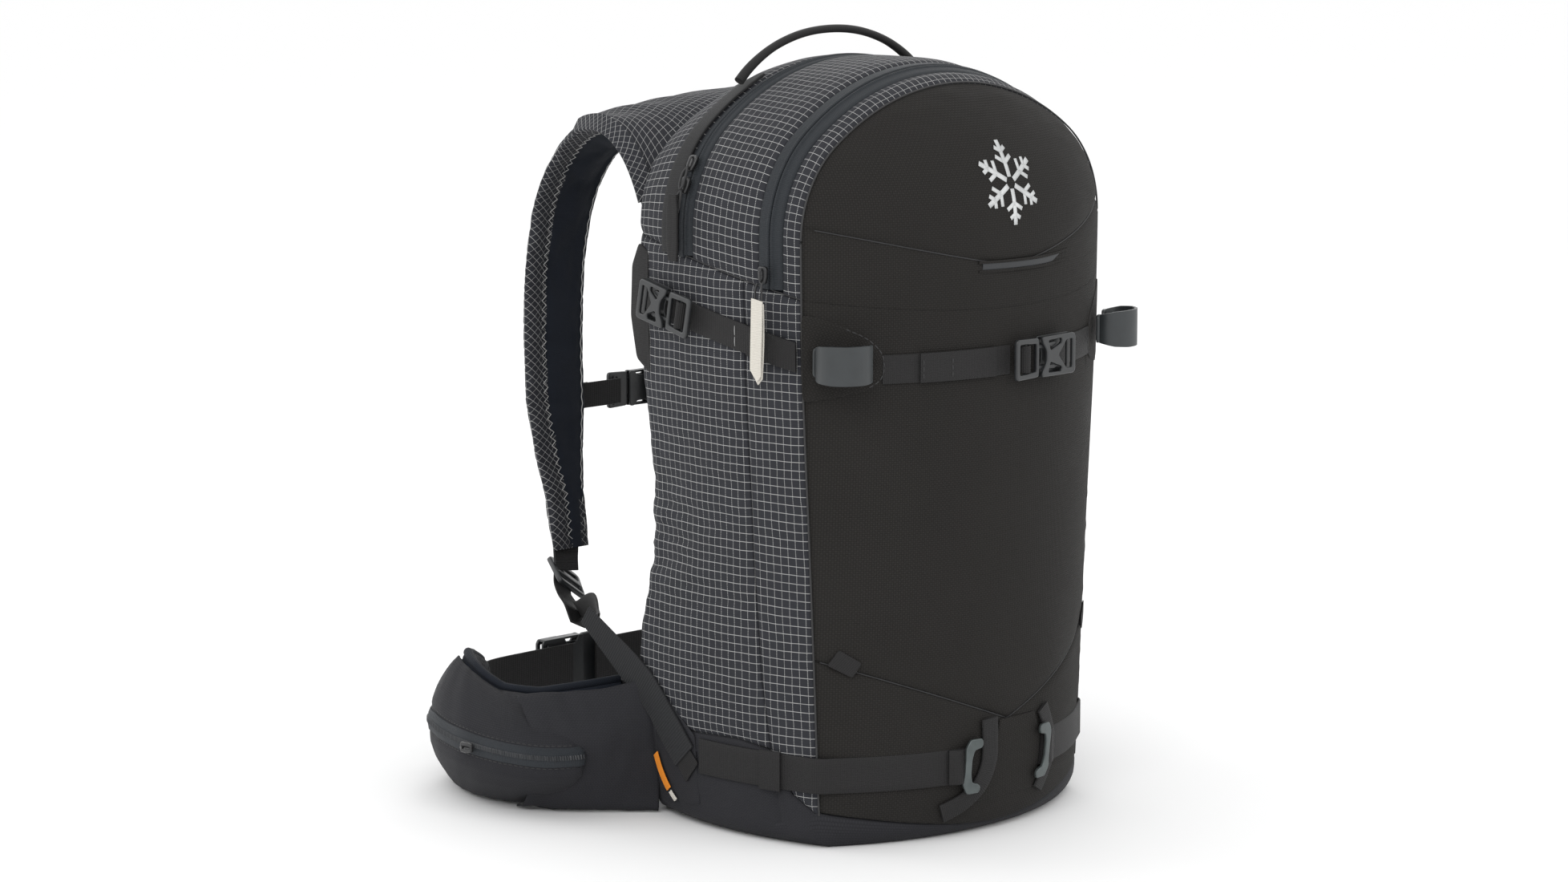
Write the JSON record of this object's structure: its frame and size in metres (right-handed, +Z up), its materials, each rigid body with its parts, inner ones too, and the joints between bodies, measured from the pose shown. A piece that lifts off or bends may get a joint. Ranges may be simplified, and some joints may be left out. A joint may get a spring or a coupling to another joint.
{
  "type": "ski backpack",
  "caption": "Ski backpack with two arched zips, a tool pocket, compression straps, ski loops, padded harness and pocketed hip belt.",
  "frame": {"origin": "on the floor plane under the middle of the bag, at the base panel's resting face", "axes": "+Z up; -Y is the outer front face; +Y is the wearer's side; +X is the wearer's right"},
  "size_m": [0.487, 0.4663, 0.5545],
  "materials": {
    "ballistic": "ballistic weave nylon",
    "grid_ripstop": "charcoal ripstop with a pale grid",
    "lining": "dark navy plain weave",
    "back_foam": "spacer mesh over moulded foam",
    "frame_plastic": "plain sheet",
    "aluminium": "satin",
    "zip_tape": "woven tape with coil",
    "slider_metal": "satin black",
    "pull_pale": "off-white webbing",
    "webbing": "ribbed black webbing",
    "buckle_plastic": "moulded acetal",
    "loop_rubber": "matte dark grey",
    "hook_metal": "dark anodised"
  },
  "bodies": {
    "root": {"base_panel": "ballistic", "lower_bag": "grid_ripstop", "rear_collar": "grid_ripstop", "front_panel": "ballistic", "pocket_divider": "lining", "back_panel": "back_foam", "lumbar_pad": "back_foam", "frame_sheet": "frame_plastic", "frame_stay": "aluminium", "hydration_sleeve": "lining", "accessory_pocket_zip": "zip_tape", "main_zip_rear_tape": "zip_tape", "compression_straps": "webbing", "side_buckle_sockets": "buckle_plastic", "front_strap": "webbing", "front_buckle_socket": "buckle_plastic", "loop_patches": "ballistic", "ski_loop_left": "loop_rubber", "ski_loop_right": "loop_rubber", "lower_straps": "webbing", "pick_pocket": "ballistic", "pick_loops": "webbing", "gear_tabs": "webbing", "side_gussets": "ballistic", "adjuster_webbing": "webbing", "hip_belt_roots": "lining"},
    "main_lid": {"lid_panel": "grid_ripstop", "main_zip_front_tape": "zip_tape", "pocket_zip_rear_tape": "zip_tape"},
    "pocket_flap": {"flap_panel": "ballistic", "pocket_zip_front_tape": "zip_tape"},
    "handle": {"haul_handle": "webbing"},
    "upper_slider": {"main_slider_upper": "slider_metal"},
    "lower_slider": {"main_slider_lower": "slider_metal"},
    "lower_pull": {"main_pull": "webbing"},
    "tool_slider": {"pocket_slider": "slider_metal"},
    "tool_pull": {"pocket_pull": "pull_pale"},
    "side_clip_left": {"side_buckle_clip_left": "buckle_plastic"},
    "side_clip_right": {"side_buckle_clip_right": "buckle_plastic"},
    "front_clip": {"front_buckle_clip": "buckle_plastic"},
    "hook_left": {"g_hook_left": "hook_metal"},
    "hook_right": {"g_hook_right": "hook_metal"},
    "shoulder_left": {"shoulder_pad_left": "grid_ripstop", "adjuster_left": "buckle_plastic"},
    "shoulder_right": {"shoulder_pad_right": "grid_ripstop", "adjuster_right": "buckle_plastic"},
    "sternum_left": {"sternum_strap_left": "webbing"},
    "sternum_right": {"sternum_strap_right": "webbing", "sternum_socket": "buckle_plastic"},
    "chest_clip": {"sternum_clip": "buckle_plastic"},
    "hip_left": {"hip_wing_left": "lining", "hip_pouch_left": "ballistic", "hip_webbing_left": "webbing", "hip_socket": "buckle_plastic"},
    "hip_right": {"hip_wing_right": "lining", "hip_pouch_right": "ballistic", "hip_webbing_right": "webbing"},
    "waist_clip": {"hip_clip": "buckle_plastic"},
    "hip_zip_left": {"hip_slider_left": "slider_metal"},
    "hip_zip_right": {"hip_slider_right": "slider_metal"}
  },
  "joints": [
    {"name": "main_lid_hinge", "type": "hinge", "parent": "root", "child": "main_lid", "pos_m": [0, -0.1215, 0.369], "axis": [1, 0, 0], "range_deg": [0, 75]},
    {"name": "pocket_flap_hinge", "type": "hinge", "parent": "main_lid", "child": "pocket_flap", "pos_m": [0, -0.1215, 0.369], "axis": [1, 0, 0], "range_deg": [0, 60]},
    {"name": "handle_fold", "type": "hinge", "parent": "root", "child": "handle", "pos_m": [0, 0.056, 0.523], "axis": [-1, 0, 0], "range_deg": [0, 60]},
    {"name": "upper_slider_travel", "type": "hinge", "parent": "root", "child": "upper_slider", "pos_m": [-0.067, 0.043, 0.42024], "axis": [0, 1, 0], "range_deg": [0, 22]},
    {"name": "lower_slider_travel", "type": "slide", "parent": "root", "child": "lower_slider", "axis": [-0.2399, 0, -0.9708], "range_m": [0, 0.028]},
    {"name": "lower_pull_swing", "type": "hinge", "parent": "lower_slider", "child": "lower_pull", "pos_m": [-0.164, 0.043, 0.445], "axis": [1, 0, 0], "range_deg": [-60, 60]},
    {"name": "tool_slider_travel", "type": "slide", "parent": "main_lid", "child": "tool_slider", "axis": [0, 0, 1], "range_m": [0, 0.036]},
    {"name": "tool_pull_swing", "type": "hinge", "parent": "tool_slider", "child": "tool_pull", "pos_m": [-0.164, -0.039, 0.391], "axis": [1, 0, 0], "range_deg": [-40, 40]},
    {"name": "side_clip_left_release", "type": "slide", "parent": "root", "child": "side_clip_left", "axis": [-0.0733, -0.977, -0.2003], "range_m": [0, 0.018]},
    {"name": "side_clip_right_release", "type": "slide", "parent": "root", "child": "side_clip_right", "axis": [0.0733, -0.977, -0.2003], "range_m": [0, 0.018]},
    {"name": "front_clip_release", "type": "slide", "parent": "root", "child": "front_clip", "axis": [-0.9976, -0.0698, 0], "range_m": [0, 0.022]},
    {"name": "hook_left_swing", "type": "hinge", "parent": "root", "child": "hook_left", "pos_m": [-0.043, -0.118, 0.052], "axis": [0, 0, -1], "range_deg": [0, 60]},
    {"name": "hook_right_swing", "type": "hinge", "parent": "root", "child": "hook_right", "pos_m": [0.043, -0.118, 0.052], "axis": [0, 0, 1], "range_deg": [0, 60]},
    {"name": "shoulder_left_swing", "type": "hinge", "parent": "root", "child": "shoulder_left", "pos_m": [-0.09, 0.105, 0.5], "axis": [1, 0, 0], "range_deg": [0, 30]},
    {"name": "shoulder_right_swing", "type": "hinge", "parent": "root", "child": "shoulder_right", "pos_m": [0.09, 0.105, 0.5], "axis": [1, 0, 0], "range_deg": [0, 30]},
    {"name": "sternum_height", "type": "slide", "parent": "shoulder_left", "child": "sternum_left", "axis": [0, 0, 1], "range_m": [-0.02, 0.02]},
    {"name": "sternum_height_right", "type": "slide", "parent": "shoulder_right", "child": "sternum_right", "axis": [0, 0, 1], "range_m": [-0.02, 0.02]},
    {"name": "chest_clip_release", "type": "slide", "parent": "sternum_left", "child": "chest_clip", "axis": [-1, 0, 0], "range_m": [0, 0.018]},
    {"name": "hip_left_swing", "type": "hinge", "parent": "root", "child": "hip_left", "pos_m": [-0.128, 0.139, 0.045], "axis": [0, 0, 1], "range_deg": [0, 30]},
    {"name": "hip_right_swing", "type": "hinge", "parent": "root", "child": "hip_right", "pos_m": [0.128, 0.139, 0.045], "axis": [0, 0, -1], "range_deg": [0, 30]},
    {"name": "waist_clip_release", "type": "slide", "parent": "hip_right", "child": "waist_clip", "axis": [1, 0, 0], "range_m": [0, 0.026]},
    {"name": "hip_zip_left_travel", "type": "hinge", "parent": "hip_left", "child": "hip_zip_left", "pos_m": [-0.121, 0.187, 0.05], "axis": [0, 0, 1], "range_deg": [-18, 18]},
    {"name": "hip_zip_right_travel", "type": "hinge", "parent": "hip_right", "child": "hip_zip_right", "pos_m": [0.121, 0.187, 0.05], "axis": [0, 0, -1], "range_deg": [-18, 18]}
  ],
  "couplings": [
    {"joint": "shoulder_right_swing", "follows": "shoulder_left_swing", "ratio": 1},
    {"joint": "sternum_height_right", "follows": "sternum_height", "ratio": 1},
    {"joint": "hip_right_swing", "follows": "hip_left_swing", "ratio": 1}
  ]
}
